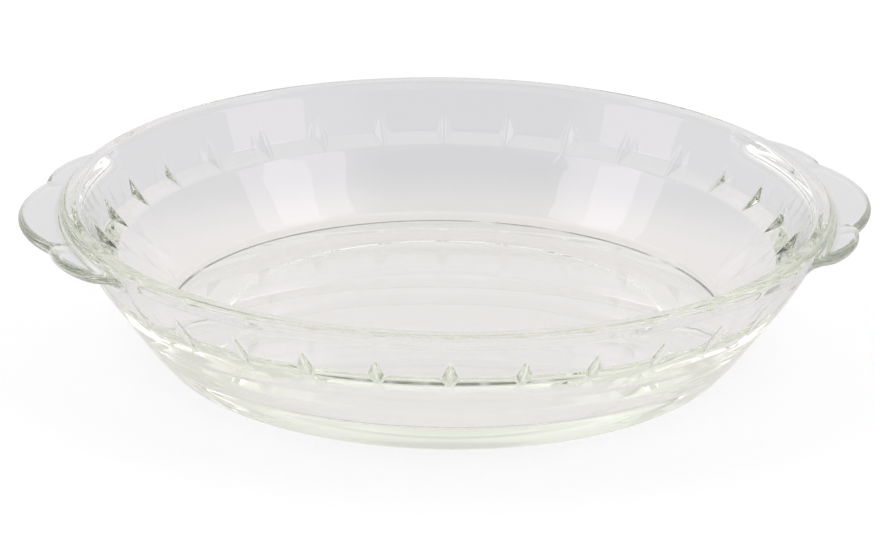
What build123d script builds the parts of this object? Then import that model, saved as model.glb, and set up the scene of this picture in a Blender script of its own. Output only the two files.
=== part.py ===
from build123d import *
import os

os.makedirs("parts", exist_ok=True)

# A pressed-glass pie dish: a round dish with a flared wall, a ledge of kite-shaped ribs inside
# and two three-lobed handles, all one piece. Lengths are in millimetres. The origin is under the
# centre of the base, +Z is up and the handles lie along X.

# Outside of the dish
dish_height = 48.1
rim_radius = 120.65
base_inset = 30.3  # from the rim in to where the lowest outer wall, drawn on, would meet the table
heel_rounding = 2.0
flare_inset = 24.65  # the outer wall leans out most below this place
flare_height_share = 0.1372  # of the dish's height
flare_bend = 40.0
knee_inset = 10.0  # the outer wall turns steeper here
knee_height_share = 0.5676
knee_bend = 60.0

# Rim: an upright band with a flat, rounded top
rim_band = 4.0
rim_step = 0.5  # how far the band stands out from the wall below it
rim_top_width = 5.3
rim_outer_rounding = 1.9
rim_inner_rounding = 1.4

# Base: a wide foot ring round a shallow hollow
foot_inset = 51.15  # from the rim in to the foot ring's inner edge
foot_hollow_depth = 0.3
foot_hollow_slope = 1.0

# Inside of the dish
floor_thickness = 10.2
floor_inset = 32.65  # from the rim in to where the floor and the lower wall, drawn on, would meet
floor_bend = 3.0

# Ledge between the thick lower wall and the thinner upper wall
lip_inset = 17.15
lip_height_share = 0.605  # of the dish's height
lip_rounding = 8.0
ledge_width = 5.4
ledge_rise = 3.4
ledge_bend = 5.0

# Ribs: each carries the line of the lower wall on, over the ledge, to the upper wall
rib_count = 32
rib_rise = 9.1  # from the lip up to where the crest meets the upper wall
rib_setback = 0.03  # the crest starts this far behind the face of the lower wall
rib_width = 5.4  # where its faces, drawn on, would meet the ledge's back corner
rib_root = 1.2  # how far the rib reaches into the glass behind that corner
rib_length = 13.0

# Handles: three overlapping round lobes each
handle_thickness = 4.6
handle_drop = 1.9  # from the rim's top down to the handle's top
handle_fall = 0.7  # how much lower the top is at a lobe's edge than at its middle
handle_edge_rounding = 1.9
handle_reach = 13.45  # from the rim out to the middle lobe's edge
middle_lobe_radius = 52.0
side_lobe_radius = 36.5
side_lobe_setback = 32.05  # from the rim in to the side lobes' centres, along X
side_lobe_offset = 27.2  # and across it

# Cove under each handle
cove_width = 4.5
cove_height = 4.5
cove_sink = 3.0  # how far the cove's section reaches into the wall; half of it into the handle
cove_inset = 2.4  # how far the cove stops inside the handle's outline

# The hollow is cut this far past the rim
overrun = 5.0

# Worked-out places
base_radius = rim_radius - base_inset
flare_radius = rim_radius - flare_inset
flare_height = dish_height * flare_height_share
knee_radius = rim_radius - knee_inset
knee_height = dish_height * knee_height_share
foot_inner_radius = rim_radius - foot_inset
wall_top_height = dish_height - rim_band
wall_top_radius = rim_radius - rim_step
mouth_radius = rim_radius - rim_top_width
floor_radius = rim_radius - floor_inset
lip_radius = rim_radius - lip_inset
lip_height = dish_height * lip_height_share
ledge_back_radius = lip_radius + ledge_width
ledge_back_height = lip_height + ledge_rise
handle_top = dish_height - handle_drop
handle_bottom = handle_top - handle_thickness
middle_lobe_centre = rim_radius + handle_reach - middle_lobe_radius
side_lobe_centre = rim_radius - side_lobe_setback

# The upper inner wall is drawn on past the rim, at its own slope
upper_wall_slope = (mouth_radius - ledge_back_radius) / (dish_height - ledge_back_height)
overrun_radius = mouth_radius + overrun * upper_wall_slope

# The rib's crest runs from the lip to the upper inner wall, and the rib is as deep as its crest
# stands in front of the ledge's back corner
crest_spread = ledge_width + upper_wall_slope * (rib_rise - ledge_rise)
crest_direction = Vector(crest_spread, 0, rib_rise).normalized()
inward = Vector(-crest_direction.Z, 0, crest_direction.X)
corner_step = Vector(ledge_width, 0, ledge_rise)
rib_depth = -corner_step.dot(inward) - rib_setback
rib_half_root = rib_width / 2 * (rib_depth + rib_root) / rib_depth


# One rib, as the wedge of glass that the hollowing leaves standing
rib_start = Vector(lip_radius, 0, lip_height) - inward * rib_setback - crest_direction * rib_setback
with BuildPart() as rib:
    with BuildSketch(Plane(origin=rib_start, x_dir=-inward, z_dir=crest_direction)):
        with BuildLine():
            Polyline(
                (0, 0),
                (rib_depth + rib_root, rib_half_root),
                (rib_depth + rib_root, -rib_half_root),
                close=True,
            )
        make_face()
    extrude(amount=rib_length)


# The hollow of the dish, with the ribs left out of it
with BuildPart() as hollow:
    with BuildSketch(Plane.XZ) as hollow_section:
        with BuildLine():
            Polyline(
                (0, floor_thickness),
                (floor_radius, floor_thickness),
                (lip_radius, lip_height),
                (ledge_back_radius, ledge_back_height),
                (overrun_radius, dish_height + overrun),
                (0, dish_height + overrun),
                close=True,
            )
        make_face()
        corners = hollow_section.vertices()
        floor_corner = corners.sort_by_distance((floor_radius, floor_thickness))[0]
        lip_corner = corners.sort_by_distance((lip_radius, lip_height))[0]
        back_corner = corners.sort_by_distance((ledge_back_radius, ledge_back_height))[0]
        fillet(floor_corner, radius=floor_bend)
        fillet(lip_corner, radius=lip_rounding)
        fillet(back_corner, radius=ledge_bend)
    revolve(axis=Axis.Z)
    half_pitch = 180 / rib_count
    with PolarLocations(radius=0, count=rib_count, start_angle=half_pitch):
        add(rib.part, mode=Mode.SUBTRACT)


# One handle: three rounded discs that overlap, so that a crease runs in from each notch
lobes = [
    (middle_lobe_centre, 0, middle_lobe_radius),
    (side_lobe_centre, side_lobe_offset, side_lobe_radius),
    (side_lobe_centre, -side_lobe_offset, side_lobe_radius),
]
with BuildPart() as handle:
    for centre_x, centre_y, lobe_radius in lobes:
        section_plane = Plane(origin=(centre_x, centre_y, 0), x_dir=(1, 0, 0), z_dir=(0, -1, 0))
        with BuildSketch(section_plane) as lobe_section:
            with BuildLine():
                Polyline(
                    (0, handle_bottom),
                    (lobe_radius, handle_bottom),
                    (lobe_radius, handle_top - handle_fall),
                    (0, handle_top),
                    close=True,
                )
            make_face()
            edge_corners = lobe_section.vertices().group_by(Axis.X)[-1]
            fillet(edge_corners, radius=handle_edge_rounding)
        revolve(axis=Axis((centre_x, centre_y, 0), (0, 0, 1)))


# The cove under one handle, inside the handle's outline
wall_slope = (wall_top_radius - knee_radius) / (wall_top_height - knee_height)
cove_foot_height = handle_bottom - cove_height
cove_foot_radius = wall_top_radius - wall_slope * (wall_top_height - cove_foot_height)
cove_top_radius = wall_top_radius - wall_slope * (wall_top_height - handle_bottom)
with BuildPart() as cove:
    with BuildSketch(Plane.XZ):
        with BuildLine():
            foot = (cove_foot_radius, cove_foot_height)
            top = (cove_top_radius + cove_width, handle_bottom)
            Bezier(foot, (cove_top_radius, handle_bottom), top)
            Polyline(
                top,
                (cove_top_radius + cove_width, handle_bottom + cove_sink / 2),
                (cove_foot_radius - cove_sink, handle_bottom + cove_sink / 2),
                (cove_foot_radius - cove_sink, cove_foot_height),
                foot,
            )
        make_face()
    revolve(axis=Axis.Z)
    with BuildSketch(Plane.XY):
        for centre_x, centre_y, lobe_radius in lobes:
            with Locations((centre_x, centre_y)):
                Circle(lobe_radius - cove_inset)
    extrude(amount=dish_height, mode=Mode.INTERSECT)


# The dish: outer body, handles and coves, then hollowed
with BuildPart() as glass_dish:
    with BuildSketch(Plane.XZ) as body_section:
        with BuildLine():
            Polyline(
                (0, foot_hollow_depth),
                (foot_inner_radius - foot_hollow_slope, foot_hollow_depth),
                (foot_inner_radius, 0),
                (base_radius, 0),
                (flare_radius, flare_height),
                (knee_radius, knee_height),
                (wall_top_radius, wall_top_height),
                (rim_radius, wall_top_height + rim_step),
                (rim_radius, dish_height),
                (0, dish_height),
                close=True,
            )
        make_face()
        corners = body_section.vertices()
        heel_corner = corners.sort_by_distance((base_radius, 0))[0]
        flare_corner = corners.sort_by_distance((flare_radius, flare_height))[0]
        knee_corner = corners.sort_by_distance((knee_radius, knee_height))[0]
        rim_corner = corners.sort_by_distance((rim_radius, dish_height))[0]
        fillet(heel_corner, radius=heel_rounding)
        fillet(flare_corner, radius=flare_bend)
        fillet(knee_corner, radius=knee_bend)
        fillet(rim_corner, radius=rim_outer_rounding)
    revolve(axis=Axis.Z)
    with PolarLocations(radius=0, count=2):
        add(handle.part)
        add(cove.part)
    add(hollow.part, mode=Mode.SUBTRACT)
    top_circles = glass_dish.edges().filter_by(GeomType.CIRCLE).group_by(Axis.Z)[-1]
    mouth_edge = top_circles.sort_by(SortBy.RADIUS)[0]
    fillet(mouth_edge, radius=rim_inner_rounding)

glass_dish.part.label = "glass_dish"
export_step(glass_dish.part, "parts/glass_dish.step")
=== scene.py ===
import math

import bpy
import numpy as np
from mathutils import Matrix, Vector


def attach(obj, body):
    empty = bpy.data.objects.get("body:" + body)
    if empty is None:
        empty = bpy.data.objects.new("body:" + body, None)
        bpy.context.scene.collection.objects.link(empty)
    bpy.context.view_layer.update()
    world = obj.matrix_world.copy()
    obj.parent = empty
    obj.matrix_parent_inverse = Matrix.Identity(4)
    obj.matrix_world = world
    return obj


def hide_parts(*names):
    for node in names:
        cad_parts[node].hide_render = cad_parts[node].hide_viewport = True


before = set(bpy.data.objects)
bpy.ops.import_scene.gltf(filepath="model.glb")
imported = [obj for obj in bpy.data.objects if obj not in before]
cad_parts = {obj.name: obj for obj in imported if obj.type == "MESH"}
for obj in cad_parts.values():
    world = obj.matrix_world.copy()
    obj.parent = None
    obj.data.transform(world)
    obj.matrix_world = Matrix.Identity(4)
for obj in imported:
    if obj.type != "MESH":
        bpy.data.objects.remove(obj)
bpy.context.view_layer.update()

# A pressed-glass pie dish, drawn as one skin of glass. Lengths of the dish are in millimetres and
# become metres when its mesh is made. Places on a section are (distance from the axis, height).

MILLIMETRE = 0.001

# Rim: an upright band, with a small step in to the wall below it
rim_height = 48.1
rim_radius = 120.65
rim_band = 4.0
rim_step = 0.5
rim_step_half_height = 0.35
rim_step_rounding = 0.4
rim_outer_rounding = 1.9
rim_inner_rounding = 1.4
mouth_radius = 115.35
rim_seam_radius = 117.6  # the inside and the outside meet here, on the rim's flat top

# Inside
floor_height = 10.2
floor_corner_radius = 88.0
floor_bend = 3.0
lip = np.array([103.5, 29.1])
lip_rounding = 3.0
ledge_back = np.array([108.9, 32.5])
ledge_bend = 2.0

# Ribs: each carries the line of the lower wall on, over the ledge, to the upper wall
rib_count = 32
rib_rise = 9.1
rib_setback = 0.03
rib_half_width = 2.4
rib_crest_half_width = 0.4
rib_crest_rounding = 0.15
rib_edge_rounding = 0.25
rib_lead = 0.25  # a rib may start below the lip by this share of the lip's rounding
rib_fade = 1.5  # and it runs out over this length at each end
rib_widest_share = 0.9  # of half its sector

# Outside
base_radius = 90.35
heel_rounding = 2.0
foot_flare_top = np.array([96.0, 6.6])
foot_flare_bend = 40.0
knee = np.array([110.65, 27.3])
knee_bend = 60.0
foot_inner_radius = 69.5
foot_hollow_radius = 68.5
foot_hollow_depth = 0.3
foot_edge_rounding = 1.0

# Handles: each lobe is (centre x, centre y, radius). The second side lobe mirrors the first.
handle_top = 46.2
handle_fall = 0.7
handle_bottom = 41.6
nose_radius = 1.95
middle_lobe = (82.07, 0.0, 52.0)
side_lobe = (88.6, 27.2, 36.5)
notch_rounding = 0.9
handle_end_rounding = 3.0
handle_full_reach = 5.5  # a handle has its whole section where its edge is this far past the rim
handle_half_angle = math.radians(38)  # no handle goes farther round than this
handle_angle_tries = 4000
junction_rounding = 1.0
crease_rounding = 0.1
groove_depth = 0.35
groove_width = 1.3
groove_run = 9.0
cove_height = 4.5
cove_width = 4.5
band_run_out = 0.85  # away from the handles, their rows end this far below the rim's step

# Columns of the skin. On and beside each rib they stand at these shares of the way across, and
# away from the ribs they spread until they are even.
columns_on_rib = np.array([0, 0.25, 0.6, 0.92, 1.0])
columns_beside_rib = np.array([0.03, 0.1, 0.3, 0.62, 1.0])
column_spread_gap = 1.0
column_spread = 5.0
half_columns = len(columns_on_rib) + len(columns_beside_rib) - 1
ring_columns = rib_count * 2 * half_columns
half_pitch = math.pi / rib_count

# The outside's columns are drawn together at each notch, so that its crease is crisp
gather_angle = math.radians(2.5)
gather_share = 0.75
gather_inner_radius = 100.0
rim_gather = 0.3
beyond_notch = 1000.0

# Rows of the skin on each bend, then on the straight runs before, between and after the bends
floor_bend_rows, lip_rows, ledge_rows, mouth_rows = 13, 6, 7, 6
inner_straight_rows = (4, 4, 8, 17, 1)
rim_arc_rows, step_rows, wall_bend_rows, heel_rows, foot_rows = 8, 4, 4, 9, 3
rim_straight_rows = (2,)
handle_straight_rows = (14, 3, 5)
cove_straight_rows = (7,)
lower_straight_rows = (4, 6, 3, 3, 1, 2)

# Rows of a handle: its fillet to the rim, its top and its nose. The rest are its underside.
fillet_steps, top_steps, nose_steps = 5, 7, 12

# Glass. Its tint and its waves are judged, and the height of the waves is in metres.
glass_ior = 1.47
glass_tint = (0.5, 0.64, 0.25, 1.0)
glass_tint_density = 1.5
wave_scale = 45.0
wave_detail = 1.5
wave_height = 0.00001

# Dark ring on the foot, in millimetres: painted shade, a dark line put into the glass's colour. It is
# made up: it stands in for the dark ring that the photograph shows at the edge of the floor, and the real
# foot may have nothing there.
dark_ring_radius = 89.0
dark_ring_half_width = 0.55
dark_ring_softness = 0.3
painted_shade_ring_colour = (0.1, 0.1, 0.095, 1.0)
dark_ring_whole_below = 0.2
dark_ring_gone_above = 0.4
dark_ring_break_scale = 70.0
dark_ring_break_range = (0.3, 0.45)

# Geometry Nodes: the mark on the rib sector, and how near points are welded, in metres
sector_mark = "rib_sector"
weld_distance = 2e-6

# Camera, fitted to the photograph: millimetres, radians and pixels, and metres for its clip range.
# In its frame the line through the handles is turned a little from the picture's width.
camera_distance, camera_height = 1199.136, 477.558
camera_yaw, camera_pitch, camera_roll = -0.0023846, 0.3628775, 0.0134556
camera_focal_pixels = 4063.11
camera_sensor_width = 36.0
camera_clip = (0.01, 50)
photo_width = 875
handle_line = (0.99376, 0.11152)

# Table, in metres. In the open its glow gives the photograph's white ground. Through the glass it is
# greyer, because the photograph's glass is greyer than its ground: one glow near the dish and a darker
# one farther away. These greyer glows are painted shade. It also takes a share of the lamps' light, and
# so shows the shadow.
table_open = (0.76, 0.76, 0.76, 1.0)
table_near_painted_shade = (0.62, 0.6, 0.585, 1.0)
table_far_painted_shade = (0.45, 0.45, 0.46, 1.0)
table_near_ends, table_far_starts = 0.10, 0.16
table_shade = (0.3, 0.3, 0.3, 1.0)
table_plain = (0.9, 0.9, 0.9, 1.0)
table_roughness = 0.9
table_half_size = 1.2
table_depth = 0.0001

# Windows: two lamps, in metres and watts, placed by their reflections in the far wall
window_places = {"left_window": (-0.948, -0.075, 0.9), "right_window": (0.877, -0.334, 0.9)}
window_width, window_height = 0.48, 0.8
window_power = 1.9
window_colour = (1.0, 0.86, 1.0)

# Room that the glass shows, made up to match the photograph: pale all round, with a bright screen
# and a dark patch overhead. Each is whole within its inner angle and gone beyond its outer one.
room_level = (0.8, 0.78, 0.78, 1.0)
screen_level = (1.25, 1.25, 1.25, 1.0)
screen_direction = (0.0, 0.45, 0.893)
screen_angles = (50, 22)
ceiling_level = (0.1, 0.13, 0.15, 1.0)
ceiling_direction = (-0.125, -0.417, 0.901)
ceiling_angles = (33, 25)
white = (1.0, 1.0, 1.0, 1.0)

# Light goes back and forth in the glass many times, and edges turn black if it is cut short
light_bounces = 40
see_through_bounces = 12


def smooth_max(a, b, width):
    """The larger of two values, rounded over where they are closer than the width."""
    near = np.clip(width - np.abs(a - b), 0, None) / width
    return np.maximum(a, b) + near * near * width / 4


def ease(t):
    """A soft step from 0 to 1."""
    t = np.clip(t, 0, 1)
    return t * t * (3 - 2 * t)


def corner_arc(before, corner, after, radius, rows):
    """Points round one corner of a section, from one tangent point to the other."""
    before, corner, after = (np.asarray(p, float) for p in (before, corner, after))
    towards_before = (before - corner) / np.linalg.norm(before - corner)
    towards_after = (after - corner) / np.linalg.norm(after - corner)
    half_angle = math.acos(float(np.clip(towards_before @ towards_after, -1, 1))) / 2
    bisector = towards_before + towards_after
    centre = corner + bisector / np.linalg.norm(bisector) * radius / math.sin(half_angle)
    first = corner + towards_before * radius / math.tan(half_angle) - centre
    turn = math.pi - 2 * half_angle
    side = np.sign(towards_before[0] * towards_after[1] - towards_before[1] * towards_after[0])
    points = []
    for share in np.linspace(0, 1, rows + 1):
        angle = side * turn * share
        cosine, sine = math.cos(angle), math.sin(angle)
        points.append(centre + [first[0] * cosine + first[1] * sine, first[1] * cosine - first[0] * sine])
    return np.array(points)


def straight(start, end, rows):
    """Points along a straight run, without its two ends."""
    shares = np.linspace(0, 1, rows + 1)[1:-1, None]
    return np.asarray(start) * (1 - shares) + np.asarray(end) * shares


def linked(parts, straight_rows):
    """The parts of a section one after another, with straight runs between them."""
    rows = [parts[0]]
    for before, after, count in zip(parts, parts[1:], straight_rows):
        rows += [straight(before[-1], after[0], count), after]
    return np.concatenate([part for part in rows if len(part)])


def inner_section():
    """The inside's section between the ribs, from the middle of the floor to the rim's seam."""
    middle = np.array([0.0, floor_height])
    floor_corner = np.array([floor_corner_radius, floor_height])
    mouth = np.array([mouth_radius, rim_height])
    seam = np.array([rim_seam_radius, rim_height])
    floor_arc = corner_arc(middle, floor_corner, lip, floor_bend, floor_bend_rows)
    lip_arc = corner_arc(floor_corner, lip, ledge_back, lip_rounding, lip_rows)
    back_arc = corner_arc(lip, ledge_back, mouth, ledge_bend, ledge_rows)
    mouth_arc = corner_arc(ledge_back, mouth, seam, rim_inner_rounding, mouth_rows)
    return linked([[middle], floor_arc, lip_arc, back_arc, mouth_arc, [seam]], inner_straight_rows)


def rib_sector():
    """One rib and the wall on each side of it, as a grid of rows by columns."""
    upper_slope = (mouth_radius - ledge_back[0]) / (rim_height - ledge_back[1])
    crest_spread = ledge_back[0] - lip[0] + upper_slope * (lip[1] + rib_rise - ledge_back[1])
    crest = np.array([crest_spread, rib_rise])
    crest = crest / np.linalg.norm(crest)
    inward = np.array([-crest[1], crest[0]])
    section = inner_section()
    run = np.concatenate([[0], np.cumsum(np.linalg.norm(np.diff(section, axis=0), axis=1))])
    depth = -(section - lip) @ inward - rib_setback
    depth = np.where((section - lip) @ crest > -lip_rounding * rib_lead, depth, -1)
    steepness = depth.max() / (rib_half_width - rib_crest_half_width)
    ribbed = np.where(depth > 0)[0]
    rib_start, rib_end = run[ribbed[0]], run[ribbed[-1]]
    even = np.linspace(0, 1, half_columns + 1)
    tiny = 1e-6
    rows = []
    for index, place in enumerate(section):
        before, after = rib_start - run[index], run[index] - rib_end
        half_arc = max(place[0], tiny) * half_pitch
        away = ease(max(before, after - column_spread_gap, 0) / column_spread)
        edge = max(depth[index] / steepness, 0) + rib_crest_half_width
        edge = min(edge, half_arc * rib_widest_share)
        beside = edge + (half_arc - edge) * columns_beside_rib
        across = np.concatenate([edge * columns_on_rib, beside]) * (1 - away) + even * half_arc * away
        across = np.concatenate([-across[:0:-1], across])
        stand = 0 * across
        if before < rib_fade and after < rib_fade:
            from_crest = np.abs(across) - rib_crest_half_width
            crest_gap = smooth_max(from_crest, 0 * across, rib_crest_rounding)
            stand = smooth_max(depth[index] - steepness * crest_gap, 0 * across, rib_edge_rounding)
            stand = stand * ease((rib_fade - before) / rib_fade) * ease((rib_fade - after) / rib_fade)
        angle = across / max(place[0], tiny) + half_pitch
        radius = place[0] + inward[0] * stand
        height = place[1] + inward[1] * stand
        rows.append(np.stack([radius * np.cos(angle), radius * np.sin(angle), height], 1))
    return np.array(rows)


def lobe_reach(angle, centre_x, centre_y, radius):
    """How far a round lobe reaches from the axis, in the direction of each angle."""
    away = math.hypot(centre_x, centre_y)
    turn = angle - math.atan2(centre_y, centre_x)
    return away * np.cos(turn) + np.sqrt(np.clip(radius**2 - (away * np.sin(turn)) ** 2, 0, None))


def handle_outline(angle, inset):
    """The handle's edge at each angle from its middle, set in by a distance."""
    middle = lobe_reach(angle, middle_lobe[0], middle_lobe[1], middle_lobe[2] - inset)
    side = lobe_reach(angle, side_lobe[0], side_lobe[1], side_lobe[2] - inset)
    return smooth_max(middle, side, notch_rounding)


def past_rim(angle):
    """How far the outline of rim and handle together is past the rim, at each angle."""
    outline = smooth_max(handle_outline(angle, 0), rim_radius + 0 * angle, handle_end_rounding)
    return outline - rim_radius


def crease_line():
    """Where the crease of one notch starts, and its direction inwards."""
    centres = np.array([side_lobe[0] - middle_lobe[0], side_lobe[1] - middle_lobe[1]])
    gap = np.linalg.norm(centres)
    along = (gap**2 + middle_lobe[2] ** 2 - side_lobe[2] ** 2) / (2 * gap)
    height = math.sqrt(middle_lobe[2] ** 2 - along**2)
    unit = centres / gap
    normal = np.array([unit[1], -unit[0]])
    notch = np.array(middle_lobe[:2]) + unit * along + normal * height
    return notch, -normal


def handle_height(radius, angle):
    """The height of the handle's top, domed on each lobe and creased between them."""
    x, y = radius * np.cos(angle), radius * np.sin(angle)
    heights = []
    for centre_x, centre_y, lobe_radius in (middle_lobe, side_lobe):
        share = np.hypot(x - centre_x, y - centre_y) / (lobe_radius - nose_radius)
        heights.append(handle_top - handle_fall * share**2)
    notch, inwards = crease_line()
    from_notch = np.stack([x - notch[0], y - notch[1]], -1)
    along = from_notch @ inwards
    across = from_notch @ np.array([-inwards[1], inwards[0]])
    groove = np.exp(-((across / groove_width) ** 2)) * ease(1 - along / groove_run)
    return smooth_max(heights[0], heights[1], crease_rounding) - groove_depth * groove


def outer_section():
    """The outside's section away from the handles, as rows from the rim's seam to the base."""
    band_end = rim_height - rim_band
    seam = np.array([rim_seam_radius, rim_height])
    corner = np.array([rim_radius, rim_height])
    band_foot = np.array([rim_radius, band_end + rim_step_half_height])
    wall_top = np.array([rim_radius - rim_step, band_end - rim_step_half_height])
    heel = np.array([base_radius, 0.0])
    foot_edge = np.array([foot_inner_radius, 0.0])
    hollow_edge = np.array([foot_hollow_radius, foot_hollow_depth])
    middle = np.array([0.0, foot_hollow_depth])
    wall_slope = (wall_top - knee) / (wall_top[1] - knee[1])
    bottom_foot = knee + wall_slope * (wall_top[1] - band_run_out - knee[1])
    cove_foot = knee + wall_slope * (handle_bottom - cove_height - knee[1])
    rim_arc = corner_arc(seam, corner, band_foot, rim_outer_rounding, rim_arc_rows)
    step_top = corner_arc(corner, band_foot, wall_top, rim_step_rounding, step_rows)
    step_foot = corner_arc(band_foot, wall_top, knee, rim_step_rounding, step_rows)
    knee_arc = corner_arc(wall_top, knee, foot_flare_top, knee_bend, wall_bend_rows)
    flare_arc = corner_arc(knee, foot_flare_top, heel, foot_flare_bend, wall_bend_rows)
    heel_arc = corner_arc(foot_flare_top, heel, foot_edge, heel_rounding, heel_rows)
    foot_arc = corner_arc(heel, foot_edge, hollow_edge, foot_edge_rounding, foot_rows)
    hollow_arc = corner_arc(foot_edge, hollow_edge, middle, foot_edge_rounding, foot_rows)
    rim_rows = linked([[seam], rim_arc], rim_straight_rows)
    band = [rim_arc[-1:], step_top, step_foot, [bottom_foot]]
    handle_rows = linked(band, handle_straight_rows)[1:]
    cove_rows = linked([[bottom_foot], [cove_foot]], cove_straight_rows)[1:]
    lower = [[cove_foot], knee_arc, flare_arc, heel_arc, foot_arc, hollow_arc, [middle]]
    lower_rows = linked(lower, lower_straight_rows)[1:-1]
    return rim_rows, handle_rows, cove_rows, lower_rows


def outer_skin():
    """The outside with its handles, as a grid of rows by columns."""
    rim_rows, handle_rows, cove_rows, lower_rows = outer_section()
    even = np.arange(ring_columns) * 2 * math.pi / ring_columns
    notch, inwards = crease_line()
    notch_angle = math.atan2(notch[1], notch[0])

    # Each column's place on the nearest handle, whose middle is at angle 0
    handle_side = np.where(np.cos(even) >= 0, 0.0, math.pi)
    turn = (even - handle_side + math.pi) % (2 * math.pi) - math.pi
    sign = np.where(turn >= 0, 1.0, -1.0)
    turn = np.abs(turn)

    def gathered(radius, strength):
        """The columns' angles, drawn together at the notch and along its crease."""
        gap = turn - notch_angle
        pull = np.exp(-((gap / gather_angle) ** 2))
        along = np.dot(notch, inwards)
        reach = np.clip(radius, gather_inner_radius, np.linalg.norm(notch))
        step = -along - np.sqrt(np.clip(along**2 - notch @ notch + reach**2, 0, None))
        place = notch + inwards * step
        shift = math.atan2(place[1], place[0]) - notch_angle
        return turn - gather_share * strength * gap * pull + strength * shift * pull

    # Where the handle's edge is far enough out for its whole section
    tries = np.linspace(0, handle_half_angle, handle_angle_tries)
    last_full = tries[np.where(past_rim(tries) >= handle_full_reach)[0][-1]]

    def weight(angle):
        """How much of the handle's section there is at each angle, from 0 to 1."""
        edge = np.where(angle < handle_half_angle, past_rim(angle), 0)
        return np.where(angle <= last_full, 1.0, np.clip(edge / handle_full_reach, 0, 1))

    rows = []

    def add_row(radius, height, angle):
        full = angle * sign + handle_side
        rows.append(np.stack([radius * np.cos(full), radius * np.sin(full), height + 0 * radius], 1))

    def mixed_row(plain, radius, height, angle):
        share = weight(angle)
        add_row(plain[0] * (1 - share) + radius * share, plain[1] * (1 - share) + height * share, angle)

    # Rim: its rounding stops at the fillet over each handle
    rim_centre = np.array([rim_radius - rim_outer_rounding, rim_height - rim_outer_rounding])
    flat_rows = len(rim_rows) - rim_arc_rows - 1
    base_angle = gathered(rim_radius, 1.0)
    clamped = np.minimum(base_angle, last_full)
    top_height = handle_height(rim_radius + junction_rounding, clamped)
    rise = top_height + junction_rounding - rim_centre[1]
    span = rim_outer_rounding + junction_rounding
    fillet_radius = rim_centre[0] + np.sqrt(span**2 - rise**2)
    meeting = np.arcsin(rise / span)
    for index, plain in enumerate(rim_rows):
        if index < flat_rows:
            add_row(plain[0] + 0 * even, plain[1], gathered(rim_radius, rim_gather * index / flat_rows))
            continue
        step = (index - flat_rows) / rim_arc_rows
        angle = gathered(rim_radius, rim_gather + (1 - rim_gather) * step)
        lift = math.pi / 2 * (1 - step) + meeting * step
        radius = rim_centre[0] + rim_outer_rounding * np.cos(lift)
        height = rim_centre[1] + rim_outer_rounding * np.sin(lift)
        mixed_row(plain, radius, height, angle)

    # Fillet, handle top, nose, and underside
    wall_top_height = rim_height - rim_band
    wall_slope = (rim_radius - rim_step - knee[0]) / (wall_top_height - knee[1])
    wall = knee[0] + (handle_bottom - knee[1]) * wall_slope
    nose_start = fillet_steps + top_steps
    under_start = nose_start + nose_steps
    for step, plain in enumerate(handle_rows, 1):
        if step <= fillet_steps:
            turned = -math.pi + meeting + (math.pi / 2 - meeting) * step / fillet_steps
            radius = fillet_radius + junction_rounding * np.cos(turned)
            height = top_height + junction_rounding + junction_rounding * np.sin(turned)
            mixed_row(plain, radius, height, base_angle)
        elif step <= nose_start:
            share = (step - fillet_steps) / top_steps
            angle = base_angle
            for _ in range(2):
                near = np.minimum(angle, last_full)
                radius = fillet_radius * (1 - share) + handle_outline(near, nose_radius) * share
                angle = gathered(float(np.interp(notch_angle, angle, radius)), 1.0)
            near = np.minimum(angle, last_full)
            mixed_row(plain, radius, handle_height(radius, near), angle)
        else:
            angle = gathered(beyond_notch, 1.0)
            near = np.minimum(angle, last_full)
            edge = handle_outline(near, nose_radius)
            if step <= under_start:
                lift = math.pi * (step - nose_start) / nose_steps
                radius = handle_outline(near, nose_radius * (1 - math.sin(lift)))
                top = handle_height(edge, near)
                height = (top + handle_bottom) / 2 + (top - handle_bottom) / 2 * math.cos(lift)
            else:
                share = (step - under_start) / (len(handle_rows) - under_start)
                radius = edge * (1 - share) + (wall + cove_width) * share
                height = handle_bottom + 0 * radius
            mixed_row(plain, radius, height, angle)

    # Cove
    start = np.array([wall + cove_width, handle_bottom])
    bend = np.array([wall, handle_bottom])
    end = cove_rows[-1]
    for index, plain in enumerate(cove_rows, 1):
        share = index / len(cove_rows)
        place = start * (1 - share) ** 2 + bend * 2 * share * (1 - share) + end * share**2
        angle = gathered(beyond_notch, 1.0 - share)
        mixed_row(plain, place[0] + 0 * even, place[1] + 0 * even, angle)

    for plain in lower_rows:
        add_row(plain[0] + 0 * even, plain[1], turn)
    return np.array(rows)


def glass_mesh():
    """The raw skin: one rib sector, marked to be repeated, and the outside."""
    points, faces = [], []

    # The sector fans out from the middle of the floor
    points.append([0.0, 0.0, floor_height])
    grid = rib_sector()[1:]
    rows, columns = grid.shape[:2]
    points.extend(grid.reshape(-1, 3).tolist())
    for column in range(columns - 1):
        faces.append((0, 1 + column, 2 + column))
    for row in range(rows - 1):
        for column in range(columns - 1):
            corner = 1 + row * columns + column
            faces.append((corner, corner + columns, corner + columns + 1, corner + 1))
    sector_faces = len(faces)

    # The outside closes at the middle of the base
    shell = outer_skin()
    first = len(points)
    rows, columns = shell.shape[:2]
    points.extend(shell.reshape(-1, 3).tolist())
    middle = len(points)
    points.append([0.0, 0.0, foot_hollow_depth])
    for row in range(rows):
        low = first + row * columns
        for column in range(columns):
            here, beside = low + column, low + (column + 1) % columns
            if row < rows - 1:
                faces.append((here, here + columns, beside + columns, beside))
            else:
                faces.append((here, middle, beside))

    mesh = bpy.data.meshes.new("pressed_glass_skin")
    mesh.from_pydata((np.array(points) * MILLIMETRE).tolist(), [], faces)
    marks = mesh.attributes.new(sector_mark, "BOOLEAN", "FACE")
    marks.data.foreach_set("value", np.arange(len(faces)) < sector_faces)
    return mesh


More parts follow.
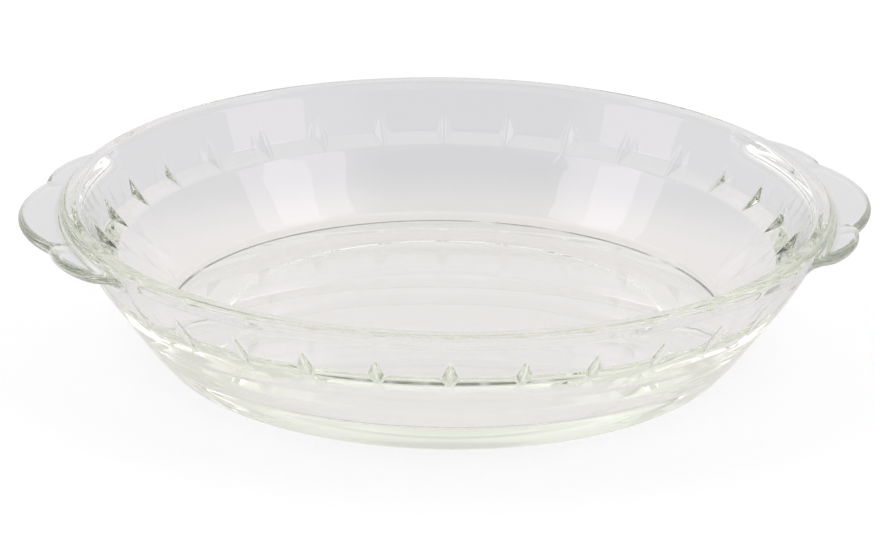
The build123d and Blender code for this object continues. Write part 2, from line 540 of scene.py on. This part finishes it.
def add_node(tree, kind, values=None, **settings):
    """A new node. Each input takes its value, or is linked if the value is another node's socket."""
    node = tree.nodes.new(kind)
    for name, value in settings.items():
        setattr(node, name, value)
    for key, value in (values or {}).items():
        if isinstance(value, bpy.types.NodeSocket):
            tree.links.new(value, node.inputs[key])
        else:
            node.inputs[key].default_value = value
    return node


def calculated(tree, operation, first, second=None):
    """The result of one step of sums, on sockets or numbers."""
    values = {0: first} if second is None else {0: first, 1: second}
    return add_node(tree, "ShaderNodeMath", values, operation=operation).outputs["Value"]


def mixed_colour(tree, factor, first, second):
    """A colour between two others, each of them a socket or a colour."""
    values = {"Factor": factor, "A": first, "B": second}
    return add_node(tree, "ShaderNodeMix", values, data_type="RGBA").outputs["Result"]


def ramp(tree, value, start, end, interpolation="LINEAR"):
    """0 at the start of a range and 1 at its end."""
    values = {"Value": value, "From Min": start, "From Max": end}
    node = add_node(tree, "ShaderNodeMapRange", values, interpolation_type=interpolation)
    return node.outputs["Result"]


def distance_from_origin(tree, place):
    """How far a place is from the middle of the dish."""
    node = add_node(tree, "ShaderNodeVectorMath", {0: place}, operation="LENGTH")
    return node.outputs["Value"]


def new_material(name):
    """A material with its node tree, its Principled shader and its output."""
    material = bpy.data.materials.new(name)
    material.use_nodes = True
    tree = material.node_tree
    return material, tree, tree.nodes["Principled BSDF"], tree.nodes["Material Output"]


def painted_shade_ring_mask(tree, place):
    """1 on the dark ring of painted shade and 0 off it, with breaks in it. It lies on the foot alone."""
    split = add_node(tree, "ShaderNodeSeparateXYZ", {"Vector": place})
    flat = add_node(tree, "ShaderNodeCombineXYZ", {"X": split.outputs["X"], "Y": split.outputs["Y"]})
    reach = distance_from_origin(tree, flat.outputs["Vector"])
    off_ring = calculated(tree, "SUBTRACT", reach, dark_ring_radius * MILLIMETRE)
    gone = (dark_ring_half_width + dark_ring_softness) * MILLIMETRE
    whole = (dark_ring_half_width - dark_ring_softness) * MILLIMETRE
    band = ramp(tree, calculated(tree, "ABSOLUTE", off_ring), gone, whole, "SMOOTHSTEP")
    gone, whole = dark_ring_gone_above * MILLIMETRE, dark_ring_whole_below * MILLIMETRE
    low = ramp(tree, split.outputs["Z"], gone, whole)
    patches = add_node(tree, "ShaderNodeTexNoise", {"Vector": place, "Scale": dark_ring_break_scale})
    breaks = ramp(tree, patches.outputs["Fac"], *dark_ring_break_range)
    return calculated(tree, "MULTIPLY", calculated(tree, "MULTIPLY", band, low), breaks)


def clear_glass():
    """Clear pressed glass: a faint green where it is thick, a soft waviness in its surface, and a dark
    ring of painted shade on its foot.
    """
    material, tree, shader, output = new_material("clear_pressed_glass")
    shader.inputs["Transmission Weight"].default_value = 1.0
    shader.inputs["IOR"].default_value = glass_ior
    shader.inputs["Roughness"].default_value = 0.0
    absorbed = {"Color": glass_tint, "Density": glass_tint_density}
    tint = add_node(tree, "ShaderNodeVolumeAbsorption", absorbed)
    tree.links.new(tint.outputs["Volume"], output.inputs["Volume"])
    place = add_node(tree, "ShaderNodeTexCoord").outputs["Object"]
    noise = {"Vector": place, "Scale": wave_scale, "Detail": wave_detail}
    waves = add_node(tree, "ShaderNodeTexNoise", noise)
    raised = {"Height": waves.outputs["Fac"], "Strength": 1.0, "Distance": wave_height}
    bump = add_node(tree, "ShaderNodeBump", raised)
    tree.links.new(bump.outputs["Normal"], shader.inputs["Normal"])
    # The foot's ring darkens the glass's colour: painted shade.
    colour = mixed_colour(tree, painted_shade_ring_mask(tree, place), white, painted_shade_ring_colour)
    tree.links.new(colour, shader.inputs["Base Color"])
    return material


def repeat_tree():
    """Geometry Nodes: repeats the marked rib sector round the dish and joins it to the outside."""
    tree = bpy.data.node_groups.new("ribs_round_the_dish", "GeometryNodeTree")
    sockets = {}
    for name, kind in (
        ("Geometry", "NodeSocketGeometry"),
        ("Rib Count", "NodeSocketInt"),
        ("Weld Distance", "NodeSocketFloat"),
        ("Glass", "NodeSocketMaterial"),
    ):
        sockets[name] = tree.interface.new_socket(name, in_out="INPUT", socket_type=kind).identifier
    tree.interface.new_socket("Geometry", in_out="OUTPUT", socket_type="NodeSocketGeometry")
    given = add_node(tree, "NodeGroupInput").outputs

    # The marked sector is parted from the outside
    marks = add_node(tree, "GeometryNodeInputNamedAttribute", {"Name": sector_mark}, data_type="BOOLEAN")
    parts = {"Geometry": given["Geometry"], "Selection": marks.outputs["Attribute"]}
    parted = add_node(tree, "GeometryNodeSeparateGeometry", parts, domain="FACE").outputs

    # It is copied at equal turns
    places = add_node(tree, "GeometryNodePoints", {"Count": given["Rib Count"]})
    number = add_node(tree, "GeometryNodeInputIndex").outputs["Index"]
    step = calculated(tree, "DIVIDE", 2 * math.pi, given["Rib Count"])
    spin = add_node(tree, "ShaderNodeCombineXYZ", {"Z": calculated(tree, "MULTIPLY", number, step)})
    copies = {
        "Points": places.outputs["Points"],
        "Instance": parted["Selection"],
        "Rotation": spin.outputs["Vector"],
    }
    repeat = add_node(tree, "GeometryNodeInstanceOnPoints", copies)

    # The copies and the outside become one welded skin of glass
    join = add_node(tree, "GeometryNodeJoinGeometry", {"Geometry": repeat.outputs["Instances"]})
    tree.links.new(parted["Inverted"], join.inputs["Geometry"])
    whole = join.outputs["Geometry"]
    whole = add_node(tree, "GeometryNodeRealizeInstances", {"Geometry": whole}).outputs["Geometry"]
    welding = {"Geometry": whole, "Distance": given["Weld Distance"]}
    whole = add_node(tree, "GeometryNodeMergeByDistance", welding).outputs["Geometry"]
    finish = {"Geometry": whole, "Material": given["Glass"]}
    whole = add_node(tree, "GeometryNodeSetMaterial", finish).outputs["Geometry"]
    add_node(tree, "NodeGroupOutput", {"Geometry": whole})
    return tree, sockets


def placed(name, data):
    """A new object in the scene."""
    thing = bpy.data.objects.new(name, data)
    bpy.context.scene.collection.objects.link(thing)
    return thing


def make_dish():
    """The dish as one plain mesh."""
    raw = placed("glass_dish_form", glass_mesh())
    tree, sockets = repeat_tree()
    modifier = raw.modifiers.new("ribs", "NODES")
    modifier.node_group = tree
    modifier[sockets["Rib Count"]] = rib_count
    modifier[sockets["Weld Distance"]] = weld_distance
    modifier[sockets["Glass"]] = clear_glass()
    seen = raw.evaluated_get(bpy.context.evaluated_depsgraph_get())
    mesh = bpy.data.meshes.new_from_object(seen)
    bpy.data.objects.remove(raw)
    mesh.name = "glass_dish_skin"
    mesh.attributes.remove(mesh.attributes[sector_mark])
    mesh.polygons.foreach_set("use_smooth", np.ones(len(mesh.polygons), bool))
    return placed("glass_dish_pressing", mesh)


def make_camera():
    """The camera that took the photograph, as fitted."""
    handle_x = Vector((handle_line[0], handle_line[1], 0))
    handle_y = Vector((-handle_line[1], handle_line[0], 0))

    def in_dish_frame(v):
        return Vector((v.dot(handle_x), v.dot(handle_y), v.z))

    cos_pitch, sin_pitch = math.cos(camera_pitch), math.sin(camera_pitch)
    ahead = Vector((math.sin(camera_yaw) * cos_pitch, math.cos(camera_yaw) * cos_pitch, -sin_pitch))
    level = Vector((math.cos(camera_yaw), -math.sin(camera_yaw), 0))
    above = level.cross(ahead)
    right = level * math.cos(camera_roll) + above * math.sin(camera_roll)
    up = above * math.cos(camera_roll) - level * math.sin(camera_roll)
    data = bpy.data.cameras.new("camera")
    data.sensor_width = camera_sensor_width
    data.lens = camera_focal_pixels * camera_sensor_width / photo_width
    data.clip_start, data.clip_end = camera_clip
    camera = placed("camera", data)
    place = in_dish_frame(Vector((0, -camera_distance, camera_height)) * MILLIMETRE)
    axes = [in_dish_frame(right), in_dish_frame(up), in_dish_frame(-ahead)]
    camera.matrix_world = Matrix.Translation(place) @ Matrix(axes).transposed().to_4x4()
    return camera


def table_material():
    """A white table, which the glass shows greyer than it looks in the open, by painted shade in its
    glow.
    """
    material, tree, plain, output = new_material("white_table")
    plain.inputs["Base Color"].default_value = table_plain
    plain.inputs["Roughness"].default_value = table_roughness
    plain.inputs["Specular IOR Level"].default_value = 0.0
    path = add_node(tree, "ShaderNodeLightPath").outputs
    place = add_node(tree, "ShaderNodeTexCoord").outputs["Object"]
    away = distance_from_origin(tree, place)
    # Seen through the glass the glow is painted shade: grey near the dish and darker farther away.
    reach = ramp(tree, away, table_near_ends, table_far_starts, "SMOOTHSTEP")
    painted_shade_through_glass = mixed_colour(tree, reach, table_near_painted_shade, table_far_painted_shade)
    seen = mixed_colour(tree, path["Is Camera Ray"], painted_shade_through_glass, table_open)
    glow = add_node(tree, "ShaderNodeEmission", {"Color": seen}).outputs["Emission"]
    shaded = add_node(tree, "ShaderNodeBsdfDiffuse", {"Color": table_shade}).outputs["BSDF"]
    both = add_node(tree, "ShaderNodeAddShader", {0: glow, 1: shaded}).outputs["Shader"]
    looked_at = calculated(tree, "MAXIMUM", path["Is Camera Ray"], path["Is Glossy Ray"])
    looked_at = calculated(tree, "MAXIMUM", looked_at, path["Is Transmission Ray"])
    table = add_node(tree, "ShaderNodeMixShader", {"Fac": looked_at, 1: plain.outputs["BSDF"], 2: both})
    tree.links.new(table.outputs["Shader"], output.inputs["Surface"])
    return material


def make_floor():
    """The table, just below the dish."""
    size, height = table_half_size, -table_depth
    corners = [(-size, -size, height), (size, -size, height), (size, size, height), (-size, size, height)]
    mesh = bpy.data.meshes.new("floor")
    mesh.from_pydata(corners, [], [(0, 1, 2, 3)])
    mesh.materials.append(table_material())
    floor = placed("floor", mesh)


def make_windows():
    """The two lamps, aimed at the middle of the dish."""
    for name, place in window_places.items():
        data = bpy.data.lights.new(name, "AREA")
        data.shape = "RECTANGLE"
        data.size, data.size_y = window_width, window_height
        data.energy = window_power
        data.color = window_colour
        lamp = placed(name, data)
        lamp.location = place
        lamp.rotation_euler = (-Vector(place)).to_track_quat("-Z", "Y").to_euler()


def round_patch(tree, view, direction, angles):
    """1 near a direction and 0 away from it, between two angles in degrees."""
    facing = add_node(tree, "ShaderNodeVectorMath", {0: view, 1: direction}, operation="DOT_PRODUCT")
    outer, inner = (math.cos(math.radians(angle)) for angle in angles)
    return ramp(tree, facing.outputs["Value"], outer, inner, "SMOOTHSTEP")


def make_room():
    """The room as the glass shows it. The camera itself sees white."""
    world = bpy.data.worlds.new("studio")
    bpy.context.scene.world = world
    world.use_nodes = True
    tree = world.node_tree
    view = add_node(tree, "ShaderNodeTexCoord").outputs["Generated"]
    screen = round_patch(tree, view, screen_direction, screen_angles)
    ceiling = round_patch(tree, view, ceiling_direction, ceiling_angles)
    room = mixed_colour(tree, screen, room_level, screen_level)
    room = mixed_colour(tree, ceiling, room, ceiling_level)
    path = add_node(tree, "ShaderNodeLightPath")
    seen = mixed_colour(tree, path.outputs["Is Camera Ray"], room, white)
    background = tree.nodes["Background"]
    background.inputs["Strength"].default_value = 1.0
    tree.links.new(seen, background.inputs["Color"])


dish = make_dish()
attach(dish, "root")
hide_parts("glass_dish")

make_floor()
make_windows()
make_room()

scene = bpy.context.scene
scene.camera = make_camera()
scene.view_settings.view_transform = "Standard"
scene.cycles.max_bounces = light_bounces
scene.cycles.transmission_bounces = light_bounces
scene.cycles.glossy_bounces = light_bounces
scene.cycles.transparent_max_bounces = see_through_bounces
